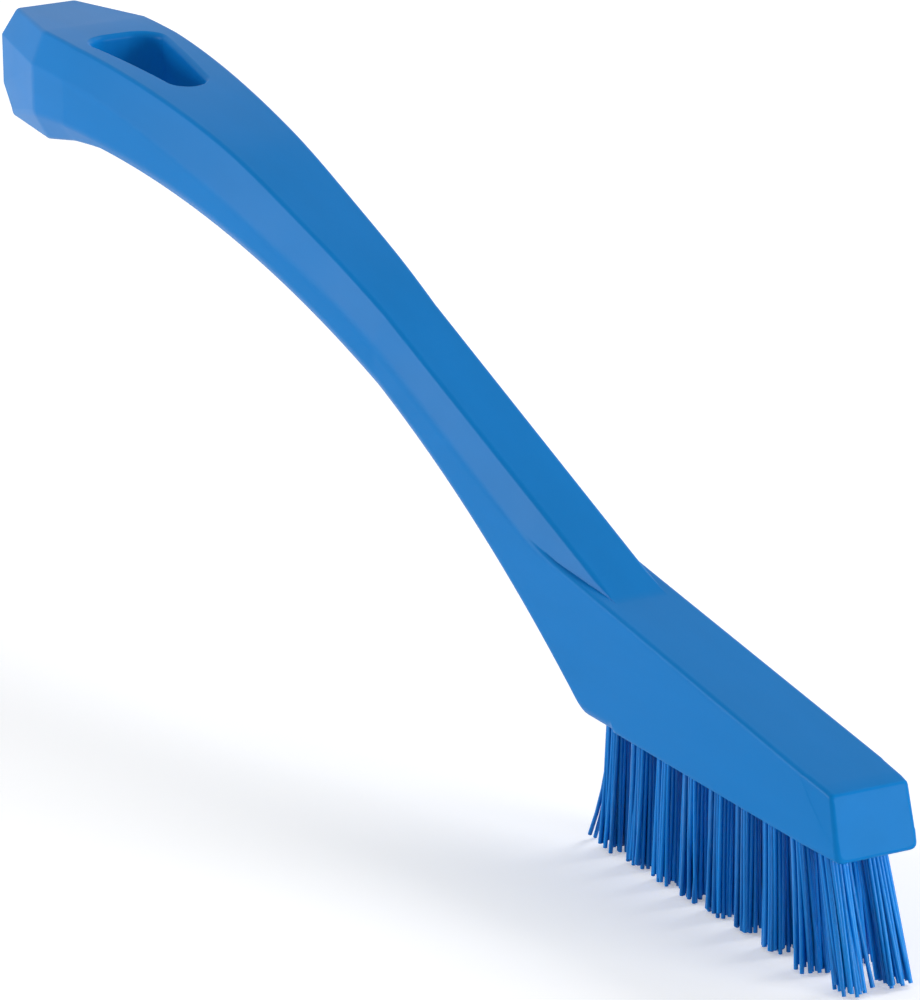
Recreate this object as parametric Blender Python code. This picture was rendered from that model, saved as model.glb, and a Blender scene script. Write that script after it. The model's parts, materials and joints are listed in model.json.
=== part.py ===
"""Detailing brush at its real size: a one-piece moulded handle and head with staple-set tufts.

X runs from the hanging end of the grip to the tip of the head, Y runs across and Z is up.
The trimmed bristle tips stand on Z = 0, and the origin is under the middle of the brush.
Inside this script X starts at the hanging end, and heights are measured up from the drilled
face, the flat underside of the head. The finished brush is moved to its origin at the end.
"""

import math

import bmesh
import bpy
from mathutils import Matrix, Vector

MM = 0.001

# Moulded body, overall
BODY_LENGTH = 205.0 * MM
GRIP_TOP_HEIGHT = 51.0 * MM

# Hanging end, a faceted face narrower than the grip
END_WIDTH = 11.2 * MM
END_FLAT_WIDTH = 8.3 * MM
END_SOLE_WIDTH = 9.7 * MM
END_TOP_DROP = 0.45 * MM
END_UNDERSIDE_DROP = 0.5 * MM
END_TOP_SETBACK = 1.4 * MM
END_SOLE_SETBACK = 0.9 * MM
END_FACET_DROP = 3.3 * MM
END_ROUNDING = 0.3 * MM

# Plan: widest at the grip's corner, then a straight taper to the width of the head
GRIP_CORNER_X = 15.8 * MM
GRIP_WIDTH = 17.5 * MM
GRIP_FLAT_WIDTH = 14.6 * MM
GRIP_SOLE_WIDTH = 14.6 * MM
TAPER_START_X = 20.0 * MM
TAPER_END_X = 103.0 * MM
NECK_FLAT_WIDTH = 6.4 * MM
HEAD_WIDTH = 10.0 * MM

# Slanted facet between the flat top and the side
FACET_DROP = 3.9 * MM
FACET_SWELL = 1.0 * MM

# Underside: one long arc from the grip down to the heel of the head
GRIP_DEPTH = 9.5 * MM
UNDERSIDE_START_X = 24.0 * MM
TOP_BEND_MARGIN = 2.1 * MM
HOOK_DEPTH = 4.0 * MM
HOOK_END_X = 30.0 * MM
SOLE_DEPTH = 2.1 * MM
SOLE_INSET = 1.5 * MM

# Head: lengths are measured back from the foot of the tip
HEAD_LENGTH = 54.7 * MM
NECK_LANDING = 50.7 * MM
LANDING_FILLET = 0.2 * MM
NOTCH_FILLET = 0.73 * MM
HEEL_FILLET = 0.84 * MM
HEEL_RUN_OUT = 1.26 * MM
HEEL_CHAMFER = 0.9 * MM
HEEL_INSET = 0.6 * MM
HEEL_CHAMFER_LENGTH = 6.0 * MM
HEAD_EDGE = 0.35 * MM
HEAD_TAPER = math.radians(8.3)
TIP_HEIGHT = 7.1 * MM
TIP_SETBACK = 1.75 * MM
TIP_TOP_WIDTH = 9.5 * MM
TIP_FACET_LENGTH = 4.9 * MM
TIP_ROUNDING = 0.5 * MM

# Rounding along the moulded edges, and the spacing of the body's sections
EDGE_ROUNDING = 0.7 * MM
ROUNDING_SHARE = 0.45
STATION_STEP = 3.4 * MM
STATION_CLEARANCE = 1.36 * MM
FILLET_CLEARANCE = 0.3 * MM

# Hanging hole through the grip: a rounded triangle with its nose towards the head
HOLE_BACK_X = 20.4 * MM
HOLE_LENGTH = 24.0 * MM
HOLE_BACK_WIDTH = 9.6 * MM
HOLE_BACK_RADIUS = 3.2 * MM
HOLE_NOSE_RADIUS = 1.75 * MM
HOLE_RIM = 0.8 * MM

# Tufts: two rows, each tuft folded over an anchor in a blind hole
BRISTLE_LENGTH = 15.2 * MM
TUFT_PITCH = 5.68 * MM
ROW_SPACING = 4.5 * MM
TIP_TUFT_MARGIN = 5.56 * MM
HEEL_TUFT_MARGIN = 3.3 * MM
TUFT_HOLE_DIAMETER = 3.6 * MM
TUFT_HOLE_DEPTH = 4.8 * MM
TUFT_CLEARANCE = 0.3 * MM
HEEL_FAN = math.radians(-10.0)
TIP_FAN = math.radians(17.0)
ROW_LEAN = math.radians(1.2)
TUFT_SPREAD = 0.9 * MM
STRANDS_ALONG = 5
STRANDS_ACROSS = 4
STRAND_WIDTH = 0.42 * MM
ROOT_RECESS = 0.2 * MM

# Anchors: short flat wires that hold the folds
ANCHOR_THICKNESS = 0.4 * MM
ANCHOR_HEIGHT = 1.6 * MM
ANCHOR_CLEARANCE = 0.3 * MM
FOLD_THICKNESS = 0.9 * MM

# Colours are linear
PLASTIC_BLUE = (0.020, 0.185, 0.480)
PLASTIC_ROUGHNESS = 0.38
BRISTLE_BLUE = (0.010, 0.170, 0.520)
BRISTLE_ROUGHNESS = 0.35
STAINLESS = (0.56, 0.57, 0.58)
STAINLESS_ROUGHNESS = 0.3

# Facets and cuts
ARC_STEPS = 3
RIM_STEPS = 3
CORNER_STEPS = 6
NOSE_STEPS = 8
HOLE_SIDES = 16
CUT_OVERSHOOT = 1.5 * MM
CUT_SKIM = 0.02 * MM
MERGE_DISTANCE = 0.001 * MM
SHARP_ANGLE = math.radians(24)


def clear_scene():
    for old in list(bpy.data.objects):
        bpy.data.objects.remove(old, do_unlink=True)


def collection(name):
    made = bpy.data.collections.new(name)
    bpy.context.scene.collection.children.link(made)
    return made


def material(name, colour, roughness, metallic=0.0):
    made = bpy.data.materials.new(name)
    made.use_nodes = True
    shader = made.node_tree.nodes["Principled BSDF"]
    shader.inputs["Base Color"].default_value = (*colour, 1.0)
    shader.inputs["Roughness"].default_value = roughness
    shader.inputs["Metallic"].default_value = metallic
    return made


def object_from(bm, name, where, look=None):
    mesh = bpy.data.meshes.new(name)
    bm.to_mesh(mesh)
    bm.free()
    made = bpy.data.objects.new(name, mesh)
    where.objects.link(made)
    if look:
        mesh.materials.append(look)
    return made


def make_cutter(made):
    made.hide_render = True
    made.display_type = "WIRE"
    return made


def subtract(target, cutter):
    cut = target.modifiers.new(f"cut by {cutter.name}", "BOOLEAN")
    cut.operation = "DIFFERENCE"
    cut.solver = "EXACT"
    cut.object = cutter


def blend(x, x0, value0, x1, value1):
    """Runs straight from value0 at x0 to value1 at x1 and stays level outside them."""
    share = min(max((x - x0) / (x1 - x0), 0.0), 1.0)
    return value0 + (value1 - value0) * share


def swell(x, x0, x1):
    """Rises from 0 at x0 to 1 half way and falls back to 0 at x1."""
    share = min(max((x - x0) / (x1 - x0), 0.0), 1.0)
    return 0.5 - 0.5 * math.cos(2.0 * math.pi * share)


def filled_max(first, second, reach):
    """The higher of two heights, with a fillet where they cross, as far as they differ by less than reach."""
    closeness = max(reach - abs(first - second), 0.0) / reach
    return max(first, second) + closeness**2 * reach / 4


def head_top(x):
    return TIP_HEIGHT + (BODY_LENGTH - TIP_SETBACK - x) * math.tan(HEAD_TAPER)


def underside_radius():
    """The underside's arc starts level under the grip and comes down to the drilled face at the heel."""
    run = heel_x() - UNDERSIDE_START_X
    drop = GRIP_TOP_HEIGHT - GRIP_DEPTH
    return (run**2 + drop**2) / (2 * drop)


def heel_x():
    return BODY_LENGTH - HEAD_LENGTH


def heel_slope():
    run = heel_x() - UNDERSIDE_START_X
    return run / math.sqrt(underside_radius() ** 2 - run**2)


def landing_x():
    """Where the straight top of the neck would meet the top of the head."""
    return BODY_LENGTH - NECK_LANDING


def top_bend():
    """Radius of the bend in the top, and the pitch of the straight neck that leaves it for the head."""
    radius = underside_radius() + TOP_BEND_MARGIN
    run = landing_x() - GRIP_CORNER_X
    rise = head_top(landing_x()) - (GRIP_TOP_HEIGHT - radius)
    pitch = math.atan2(run, rise) - math.acos(radius / math.hypot(run, rise))
    return radius, pitch


def neck_top(x):
    radius, pitch = top_bend()
    bend_end = GRIP_CORNER_X + radius * math.sin(pitch)
    if x >= bend_end:
        return head_top(landing_x()) + (landing_x() - x) * math.tan(pitch)
    along = max(x - GRIP_CORNER_X, 0.0)
    return GRIP_TOP_HEIGHT - radius + math.sqrt(radius**2 - along**2)


def fall_at_head():
    """How fast the neck comes down on the top of the head, per unit of length."""
    return math.tan(top_bend()[1]) - math.tan(HEAD_TAPER)


def notch_x():
    """Where the lower edge of the neck's slanted facet meets the top of the head."""
    return landing_x() - FACET_DROP / fall_at_head()


def top_height(x):
    return filled_max(neck_top(x), head_top(x), LANDING_FILLET)


def facet_drop(x):
    return FACET_DROP + FACET_SWELL * swell(x, TAPER_START_X, TAPER_END_X)


def facet_foot(x):
    return filled_max(neck_top(x) - facet_drop(x), head_top(x), NOTCH_FILLET)


def underside_arc(x):
    level = GRIP_TOP_HEIGHT - GRIP_DEPTH
    if x < UNDERSIDE_START_X:
        return level - END_UNDERSIDE_DROP * (1 - x / UNDERSIDE_START_X)
    radius = underside_radius()
    along = min(x - UNDERSIDE_START_X, radius)
    return level - radius + math.sqrt(radius**2 - along**2)


def chamfer_end_x():
    return heel_x() + HEEL_CHAMFER_LENGTH


def lower_chamfer(x):
    """Height of the chamfer along the drilled face: the handle's facet, then the head's small edge."""
    return HEAD_EDGE if x > chamfer_end_x() else HEEL_CHAMFER


def side_foot(x):
    return filled_max(underside_arc(x), lower_chamfer(x), HEEL_FILLET)


def sole_depth(x):
    if x < HOOK_END_X:
        return blend(x, GRIP_CORNER_X, HOOK_DEPTH, HOOK_END_X, SOLE_DEPTH)
    return blend(x, TAPER_END_X, SOLE_DEPTH, heel_x(), HEEL_CHAMFER)


def sole(x):
    if x > heel_end_x():
        return 0.0
    return filled_max(underside_arc(x) - sole_depth(x), 0.0, HEEL_FILLET)


def heel_corner_x():
    """Where the sole of the neck would meet the drilled face."""
    return heel_x() - HEEL_CHAMFER / heel_slope()


def heel_end_x():
    """Where the fillet at the heel runs out on the drilled face."""
    return heel_corner_x() + HEEL_RUN_OUT / heel_slope()


def half_width(x):
    return blend(x, TAPER_START_X, GRIP_WIDTH, TAPER_END_X, HEAD_WIDTH) / 2


def half_flat(x):
    return blend(x, TAPER_START_X, GRIP_FLAT_WIDTH, TAPER_END_X, NECK_FLAT_WIDTH) / 2


def half_sole(x):
    if x < HOOK_END_X:
        hook_end = half_width(HOOK_END_X) - SOLE_INSET
        return blend(x, GRIP_CORNER_X, GRIP_SOLE_WIDTH / 2, HOOK_END_X, hook_end)
    if x > chamfer_end_x():
        return half_width(x) - HEAD_EDGE
    return half_width(x) - blend(x, HOOK_END_X, SOLE_INSET, heel_x(), HEEL_INSET)


def section(flat, side, sole_half, top, drop, foot_of_facet, foot_of_side, bottom):
    """Right half of a section from the flat top down: flat, notch, side, foot of the side, sole."""
    share = (top - foot_of_facet) / drop
    return [
        Vector((flat, top)),
        Vector((flat + (side - flat) * share, foot_of_facet)),
        Vector((side, foot_of_facet)),
        Vector((side, foot_of_side)),
        Vector((sole_half, bottom)),
    ]


def section_at(x):
    return section(
        half_flat(x),
        half_width(x),
        half_sole(x),
        top_height(x),
        facet_drop(x),
        facet_foot(x),
        side_foot(x),
        sole(x),
    )


def end_top():
    return GRIP_TOP_HEIGHT - END_TOP_DROP


def end_section():
    return section(
        END_FLAT_WIDTH / 2,
        END_WIDTH / 2,
        END_SOLE_WIDTH / 2,
        end_top(),
        END_FACET_DROP,
        end_top() - END_FACET_DROP,
        underside_arc(0.0),
        underside_arc(0.0) - HOOK_DEPTH,
    )


def tip_section():
    """The section at the top edge of the tip, where the sides have drawn in."""
    x = BODY_LENGTH - TIP_SETBACK
    points = section_at(x)
    points[2].x = TIP_TOP_WIDTH / 2
    return points


def arc_points(start, corner, finish):
    """Points on the curve that leaves start towards the corner and arrives at finish."""
    shares = [step / ARC_STEPS for step in range(ARC_STEPS + 1)]
    return [start * (1 - t) ** 2 + corner * 2 * t * (1 - t) + finish * t**2 for t in shares]


def towards(point, other, distance):
    """The place at a distance from the point on the way to the other, short of half way."""
    way = other - point
    if way.length < MERGE_DISTANCE:
        return point.copy()
    return point + way * min(distance / way.length, ROUNDING_SHARE)


def rounded(points):
    """Rounds the corners. A notch narrower than the rounding of the side's edge starts above that edge."""
    flat, notch, side, foot, bottom = points
    ledge = (notch - side).length
    reach = towards(side, notch, EDGE_ROUNDING)
    ridge = towards(flat, notch, EDGE_ROUNDING)
    if ledge < EDGE_ROUNDING / ROUNDING_SHARE:
        hidden = min(ledge, EDGE_ROUNDING)
        reach = notch + (side - notch) * (1 - hidden / ledge) if ledge > MERGE_DISTANCE else notch
        notch = towards(notch, flat, EDGE_ROUNDING - hidden)
        if hidden == ledge:
            reach = notch
    crown = Vector((0.0, flat.y))
    centre = Vector((0.0, bottom.y))
    return [
        *arc_points(towards(flat, crown, min(EDGE_ROUNDING, (ridge - flat).length)), flat, ridge),
        notch,
        *arc_points(reach, side, towards(side, foot, EDGE_ROUNDING)),
        *arc_points(towards(foot, side, EDGE_ROUNDING), foot, towards(foot, bottom, EDGE_ROUNDING)),
        *arc_points(towards(bottom, foot, EDGE_ROUNDING), bottom, towards(bottom, centre, EDGE_ROUNDING)),
    ]


def tip_x(height):
    """The end face leans forward towards the drilled face."""
    return BODY_LENGTH - TIP_SETBACK * height / TIP_HEIGHT


def hanging_end_x(height):
    """The end face slopes back above the side facets and below the sides."""
    shoulder = end_top() - END_FACET_DROP
    if height > shoulder:
        return blend(height, shoulder, 0.0, end_top(), END_TOP_SETBACK)
    foot = underside_arc(0.0)
    return blend(height, foot - HOOK_DEPTH, END_SOLE_SETBACK, foot, 0.0)


def drawn_in(points, amount):
    """Draws a half section in from its outline, for the rounded rim of an end face."""
    low = min(p.y for p in points)
    high = max(p.y for p in points)
    middle = (low + high) / 2
    across = 1 - amount / max(p.x for p in points)
    tall = 1 - 2 * amount / (high - low)
    return [Vector((p.x * across, middle + (p.y - middle) * tall)) for p in points]


def fillet_places(x, reach, slope):
    """Section places over a fillet: its two ends, its middle and half way to each."""
    half = reach / slope
    return [x + half * share for share in (-1.0, -0.5, 0.0, 0.5, 1.0)]


def station_list():
    """Section places from the grip's corner to the tip: even steps, and each place where a line turns."""
    fixed = [
        GRIP_CORNER_X,
        TAPER_START_X,
        UNDERSIDE_START_X,
        HOOK_END_X,
        TAPER_END_X,
        *fillet_places(notch_x(), NOTCH_FILLET, fall_at_head()),
        *fillet_places(heel_corner_x(), HEEL_FILLET, heel_slope()),
        chamfer_end_x(),
        chamfer_end_x() + HEAD_EDGE,
        BODY_LENGTH - TIP_SETBACK - TIP_FACET_LENGTH,
    ]
    for x in fillet_places(landing_x(), LANDING_FILLET, fall_at_head()):
        if min(abs(x - other) for other in fixed) > FILLET_CLEARANCE:
            fixed.append(x)
    steps = int((heel_x() - GRIP_CORNER_X) / STATION_STEP)
    for index in range(steps):
        x = GRIP_CORNER_X + (index + 1) * STATION_STEP
        if min(abs(x - other) for other in fixed) > STATION_CLEARANCE:
            fixed.append(x)
    return sorted(fixed)


def body_rings():
    """Every section of the body as a list of half points in space, hanging end first."""
    rings = []
    end = rounded(end_section())
    for depth, amount in rim(END_ROUNDING):
        pairs = zip(end, drawn_in(end, amount))
        rings.append([Vector((hanging_end_x(p.y) + depth, d.x, d.y)) for p, d in pairs])
    for x in station_list():
        rings.append([Vector((x, p.x, p.y)) for p in rounded(section_at(x))])
    tip = rounded(tip_section())
    for depth, amount in reversed(rim(TIP_ROUNDING)):
        pairs = zip(tip, drawn_in(tip, amount))
        rings.append([Vector((tip_x(p.y) - depth, d.x, d.y)) for p, d in pairs])
    return rings


def rim(radius):
    """Depth below an end face and inset of its outline, round a quarter circle from the face outwards."""
    angles = [math.pi / 2 * step / 2 for step in range(3)]
    return [(radius * (1 - math.cos(a)), radius * (1 - math.sin(a))) for a in angles]


def mirrored(point):
    return Vector((point.x, -point.y, point.z))


def lofted_body(where, look):
    """Skins the sections, right and left. The hanging end is faceted and the end at the tip is flat."""
    bm = bmesh.new()
    lift = Vector((0.0, 0.0, BRISTLE_LENGTH))
    loops = []
    for half in body_rings():
        whole = half + [mirrored(p) for p in reversed(half)]
        loops.append([bm.verts.new(p + lift) for p in whole])
    count = len(loops[0])
    for near, far in zip(loops, loops[1:]):
        for index in range(count):
            after = (index + 1) % count
            bm.faces.new((near[index], far[index], far[after], near[after]))
    for index in range(count // 2 - 1):
        opposite = count - 1 - index
        bm.faces.new([loops[0][place] for place in (index, index + 1, opposite - 1, opposite)])
    bm.faces.new(loops[-1])
    bmesh.ops.remove_doubles(bm, verts=bm.verts, dist=MERGE_DISTANCE)
    bmesh.ops.recalc_face_normals(bm, faces=bm.faces)
    body = object_from(bm, "moulded_body", where, look)
    body.data.shade_smooth()
    body.data.set_sharp_from_angle(angle=SHARP_ANGLE)
    return body


def rounded_triangle():
    """Outline of the hanging hole, round its nose and its two back corners, as (point, outward direction)."""
    back_x = HOLE_BACK_X + HOLE_BACK_RADIUS
    back_y = HOLE_BACK_WIDTH / 2 - HOLE_BACK_RADIUS
    nose_x = HOLE_BACK_X + HOLE_LENGTH - HOLE_NOSE_RADIUS
    reach = math.hypot(nose_x - back_x, back_y)
    slope = math.atan2(back_y, nose_x - back_x) + math.asin((HOLE_BACK_RADIUS - HOLE_NOSE_RADIUS) / reach)
    side = math.pi / 2 - slope
    arcs = [
        (Vector((nose_x, 0.0)), HOLE_NOSE_RADIUS, -side, side, NOSE_STEPS),
        (Vector((back_x, back_y)), HOLE_BACK_RADIUS, side, math.pi, CORNER_STEPS),
        (Vector((back_x, -back_y)), HOLE_BACK_RADIUS, math.pi, 2 * math.pi - side, CORNER_STEPS),
    ]
    outline = []
    for centre, radius, start, finish, steps in arcs:
        for step in range(steps + 1):
            angle = start + (finish - start) * step / steps
            outward = Vector((math.cos(angle), math.sin(angle)))
            outline.append((centre + outward * radius, outward))
    return outline


def hanging_hole_cutter(where):
    """Follows the grip's top and sole, flaring at both to leave a rounded rim."""
    layers = [(HOLE_RIM, -CUT_OVERSHOOT)]
    for step in range(RIM_STEPS + 1):
        angle = math.pi / 2 * step / RIM_STEPS
        layers.append((HOLE_RIM * (1 - math.sin(angle)), HOLE_RIM * (1 - math.cos(angle)) - CUT_SKIM))
    bm = bmesh.new()
    loops = []
    for side in (1, -1):
        for offset, depth in layers if side == 1 else reversed(layers):
            loop = []
            for point, outward in rounded_triangle():
                place = point + outward * offset
                surface = top_height(place.x) if side == 1 else sole(place.x)
                loop.append(bm.verts.new((place.x, place.y, BRISTLE_LENGTH + surface - side * depth)))
            loops.append(loop)
    for near, far in zip(loops, loops[1:]):
        for index in range(len(near)):
            after = (index + 1) % len(near)
            bm.faces.new((near[index], near[after], far[after], far[index]))
    bm.faces.new(loops[0])
    bm.faces.new(loops[-1])
    bmesh.ops.recalc_face_normals(bm, faces=bm.faces)
    return make_cutter(object_from(bm, "hanging_hole_cutter", where))


def tufts_per_row():
    """As many tufts as the drilled face holds between the margins at its heel and its tip."""
    return 1 + int((HEAD_LENGTH - TIP_TUFT_MARGIN - HEEL_TUFT_MARGIN) / TUFT_PITCH)


def fan_angle(index):
    """Tufts stand upright in the middle of a row and lean out towards the heel and the tip."""
    middle = (tufts_per_row() - 1) / 2
    share = (index - middle) / max(middle, 1)
    return (TIP_FAN if share > 0 else HEEL_FAN) * share**2


def tuft_frame(index, row):
    """Places a piece in a tuft's hole: its origin at the mouth, X along the brush, Z up the hole."""
    fan = fan_angle(index)
    lean = ROW_LEAN * row
    back = (tufts_per_row() - 1 - index) * TUFT_PITCH
    mouth = Vector((BODY_LENGTH - TIP_TUFT_MARGIN - back, row * ROW_SPACING / 2, BRISTLE_LENGTH))
    up = Vector((-math.tan(fan), -math.tan(lean), 1.0)).normalized()
    along = Vector((0.0, 1.0, 0.0)).cross(up).normalized()
    turn = Matrix((along, up.cross(along), up)).transposed()
    return Matrix.Translation(mouth) @ turn.to_4x4()


def tuft_holes_cutter(where):
    """All the blind holes, each a cylinder that starts below the drilled face."""
    bm = bmesh.new()
    depth = TUFT_HOLE_DEPTH + CUT_OVERSHOOT
    for row in (-1, 1):
        for index in range(tufts_per_row()):
            bmesh.ops.create_cone(
                bm,
                cap_ends=True,
                segments=HOLE_SIDES,
                radius1=TUFT_HOLE_DIAMETER / 2,
                radius2=TUFT_HOLE_DIAMETER / 2,
                depth=depth,
                matrix=tuft_frame(index, row) @ Matrix.Translation((0.0, 0.0, depth / 2 - CUT_OVERSHOOT)),
            )
    return make_cutter(object_from(bm, "tuft_holes_cutter", where))


def root_radius():
    return TUFT_HOLE_DIAMETER / 2 - TUFT_CLEARANCE


def root_top():
    return TUFT_HOLE_DEPTH - TUFT_CLEARANCE


def anchor_height():
    """Centre of an anchor above the mouth of its hole, under the folds of the filaments."""
    return root_top() - FOLD_THICKNESS - ANCHOR_CLEARANCE - ANCHOR_HEIGHT / 2


def block(name, where, size, place, look=None):
    bm = bmesh.new()
    bmesh.ops.create_cube(bm, size=1.0, matrix=Matrix.Diagonal((*size, 1.0)))
    made = object_from(bm, name, where, look)
    made.matrix_world = place
    return made


def on_disc(point):
    """Maps a point of the square from -1 to 1 onto the round root of a tuft."""
    u, v = point
    return Vector((u * math.sqrt(1 - v * v / 2), v * math.sqrt(1 - u * u / 2))) * root_radius()


def root_of_tuft():
    """A round root whose lower face is a grid of cells, one for each strand."""
    bm = bmesh.new()
    bmesh.ops.create_grid(bm, x_segments=STRANDS_ALONG, y_segments=STRANDS_ACROSS, size=1.0)
    for vert in bm.verts:
        spot = on_disc(vert.co.xy)
        vert.co = (spot.x, spot.y, ROOT_RECESS)
    feet = list(bm.faces)
    raised = bmesh.ops.extrude_face_region(bm, geom=feet)["geom"]
    for item in raised:
        if isinstance(item, bmesh.types.BMVert):
            item.co.z = root_top()
    bmesh.ops.dissolve_faces(bm, faces=[f for f in raised if isinstance(f, bmesh.types.BMFace)])
    feet = [face for face in bm.faces if all(abs(v.co.z - ROOT_RECESS) < MERGE_DISTANCE for v in face.verts)]
    return bm, feet


def tuft(name, index, row, where, cutters, look):
    """A root of folded filaments in the hole, with the strands running from its face down to the floor."""
    place = tuft_frame(index, row)
    turn = place.to_3x3()
    bm, feet = root_of_tuft()
    bmesh.ops.inset_individual(bm, faces=feet, thickness=CUT_SKIM)
    for face in feet:
        centre = face.calc_center_median()
        for vert in face.verts:
            vert.co = centre + (vert.co - centre).normalized() * STRAND_WIDTH / math.sqrt(2)
    for face in bmesh.ops.extrude_discrete_faces(bm, faces=feet)["faces"]:
        spread = face.calc_center_median().xy * TUFT_SPREAD / root_radius() / BRISTLE_LENGTH
        heading = turn @ Vector((spread.x, spread.y, -1.0))
        for vert in face.verts:
            start = place @ vert.co
            vert.co = place.inverted() @ (start - heading * (start.z / heading.z))
    bmesh.ops.transform(bm, matrix=place, verts=bm.verts)
    bmesh.ops.recalc_face_normals(bm, faces=bm.faces)
    made = object_from(bm, name, where, look)
    gap = 2 * ANCHOR_CLEARANCE
    window_size = (ANCHOR_THICKNESS + gap, TUFT_HOLE_DIAMETER, ANCHOR_HEIGHT + gap)
    window_place = place @ Matrix.Translation((0.0, 0.0, anchor_height()))
    subtract(made, make_cutter(block(f"{name}_window", cutters, window_size, window_place)))


def anchor(name, index, row, where, look):
    length = TUFT_HOLE_DIAMETER - 2 * ANCHOR_CLEARANCE
    place = tuft_frame(index, row) @ Matrix.Translation((0.0, 0.0, anchor_height()))
    block(name, where, (ANCHOR_THICKNESS, length, ANCHOR_HEIGHT), place, look)


def centre_on_origin(objects):
    """Moves the brush along X until its overall box is centred on the origin."""
    bpy.context.view_layer.update()
    graph = bpy.context.evaluated_depsgraph_get()
    low, high = math.inf, -math.inf
    for item in objects:
        seen = item.evaluated_get(graph)
        for vert in seen.data.vertices:
            x = (seen.matrix_world @ vert.co).x
            low, high = min(low, x), max(high, x)
    middle = (low + high) / 2
    for item in bpy.data.objects:
        item.location.x -= middle
    print(f"Overall length {(high - low) / MM:.2f} mm, moved by {-middle / MM:.3f} mm")


def main():
    clear_scene()
    parts = collection("detailing_brush")
    cutters = collection("cutters")
    plastic = material("moulded_polypropylene", PLASTIC_BLUE, PLASTIC_ROUGHNESS)
    filament = material("polyester_filament", BRISTLE_BLUE, BRISTLE_ROUGHNESS)
    steel = material("stainless_anchor_wire", STAINLESS, STAINLESS_ROUGHNESS, 1.0)

    body = lofted_body(parts, plastic)
    subtract(body, hanging_hole_cutter(cutters))
    subtract(body, tuft_holes_cutter(cutters))

    for side, row in (("left", 1), ("right", -1)):
        for index in range(tufts_per_row()):
            tuft(f"tuft_{side}_{index + 1}", index, row, parts, cutters, filament)
            anchor(f"anchor_{side}_{index + 1}", index, row, parts, steel)

    centre_on_origin(parts.objects)


main()
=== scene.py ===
"""Looks of the detailing brush: a blue moulded handle and head with two rows of folded tufts.

The file is laid out as a Blender add-on and is run as a script. Lengths are metres in the CAD frame:
X runs from the hanging end to the tip of the head, Y runs across, Z is up, and the brush stands on
its bristle tips on Z = 0.
"""

import json
import math

import bmesh
import bpy
from bpy.props import FloatProperty, FloatVectorProperty, IntProperty, PointerProperty
from mathutils import Matrix, Vector

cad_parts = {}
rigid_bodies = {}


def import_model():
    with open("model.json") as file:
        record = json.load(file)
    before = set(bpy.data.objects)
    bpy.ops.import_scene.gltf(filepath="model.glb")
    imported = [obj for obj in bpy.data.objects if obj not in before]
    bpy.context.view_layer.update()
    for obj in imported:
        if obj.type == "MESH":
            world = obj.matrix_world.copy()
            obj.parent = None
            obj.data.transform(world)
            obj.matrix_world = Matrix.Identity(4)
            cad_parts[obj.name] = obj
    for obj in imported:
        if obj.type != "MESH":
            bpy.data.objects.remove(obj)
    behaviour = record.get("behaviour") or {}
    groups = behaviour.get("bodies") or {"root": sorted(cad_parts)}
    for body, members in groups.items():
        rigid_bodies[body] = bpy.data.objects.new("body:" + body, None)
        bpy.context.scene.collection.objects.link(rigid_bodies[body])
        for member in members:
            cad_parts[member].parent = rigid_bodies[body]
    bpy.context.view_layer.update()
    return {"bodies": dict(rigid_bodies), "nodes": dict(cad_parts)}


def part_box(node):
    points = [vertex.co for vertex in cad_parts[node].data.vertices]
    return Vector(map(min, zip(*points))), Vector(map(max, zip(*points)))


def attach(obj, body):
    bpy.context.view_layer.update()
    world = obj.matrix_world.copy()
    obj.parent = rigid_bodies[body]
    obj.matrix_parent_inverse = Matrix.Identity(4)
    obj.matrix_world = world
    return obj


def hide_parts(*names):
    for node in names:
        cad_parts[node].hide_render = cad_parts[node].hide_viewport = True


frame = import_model()
BODY_LOW, BODY_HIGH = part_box("moulded_body")

bl_info = {
    "name": "Detailing brush",
    "version": (1, 0, 0),
    "blender": (4, 5, 0),
    "location": "3D View > Sidebar > Detailing brush",
    "description": "Builds the handle, tufts and studio of a detailing brush around its CAD frame",
    "category": "Object",
}

MM = 0.001
WHITE = (1.0, 1.0, 1.0, 1.0)

# Fineness of the meshes
STATION_STEP = 1.2 * MM
STATION_CLEARANCE = 0.35 * MM
FILLET_STEPS = 8
ARC_STEPS = 6
RIM_STEPS = 6
CORNER_STEPS = 14
NOSE_STEPS = 18
HOLE_SIDES = 32
CUT_OVERSHOOT = 1.5 * MM
CUT_SKIM = 0.02 * MM
MERGE_DISTANCE = 0.002 * MM
ROUNDING_SHARE = 0.45
SHARP_ANGLE = math.radians(32)
FILAMENT_SIDES = 6
FOLD_STEPS = 2
LEG_STEPS = 8

# The crease where the tip facet begins: its top and foot as shares of the side's height, its width as
# such a share before the facet, and its width on the facet and on the hanging end
CREASE_TOP = 0.04
CREASE_FOOT = 0.96
CREASE_SHARE = 0.02
CREASE_WIDTH = 0.14 * MM

# How far the stray filaments bow away at the heel and the tip, and how far apart the tufts' seeds are
HEEL_STRAY = Vector((-4.2, -0.8, 0.0)) * MM
TIP_STRAY = Vector((0.5, 0.5, 0.0)) * MM
SEED_STEP = 10

# Numbers of a Mix node's sockets when it mixes two colours
MIX_FIRST = 6
MIX_SECOND = 7
MIX_COLOUR = 2

# Nearest thing that the camera shows
CLIP_START = 50 * MM

# Azimuth and elevation of each soft box in degrees and its power in watts
SOFT_BOXES = {
    "front_soft_box": (326, 8, 9.0),
    "side_soft_box": (113, 10, 7.3),
    "back_soft_box": (180, 45, 4.5),
}

# Inputs of the tuft's node tree
TUFT_INPUTS = {
    "NodeSocketInt": ("Layers", "Filaments Across", "Seed"),
    "NodeSocketFloat": (
        "Packed Radius", "Anchor Gap", "Shoulder", "Fold Lift", "Filament Diameter", "Visible Length",
        "Spread", "Lowest Tip", "Unevenness", "Bend", "Tilt", "Stray Limit",
    ),
    "NodeSocketVector": ("Mouth", "Turn", "Stray Reach"),
    "NodeSocketMaterial": ("Material",),
}

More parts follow.
